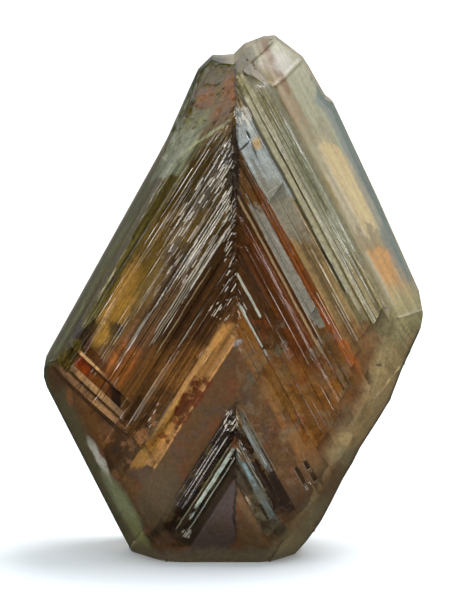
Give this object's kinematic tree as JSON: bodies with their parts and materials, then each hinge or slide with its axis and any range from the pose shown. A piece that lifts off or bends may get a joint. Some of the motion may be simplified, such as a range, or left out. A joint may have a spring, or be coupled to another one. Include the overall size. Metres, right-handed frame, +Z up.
{
  "type": "chrysoberyl twin crystal",
  "caption": "Natural chrysoberyl crystal: a kite-shaped, see-through brown plate with chevron laths that meet on a twin seam, standing on a flat foot.",
  "frame": {"origin": "on the ground under the middle of the crystal's box", "axes": "+Z up from the flat foot to the peak, -Y the chevron face, +X to the right of somebody who looks at that face"},
  "size_m": [0.016, 0.008, 0.022],
  "materials": {
    "chrysoberyl": "natural growth faces, glossy, striated"
  },
  "bodies": {
    "root": {"crystal": "chrysoberyl"}
  },
  "joints": []
}
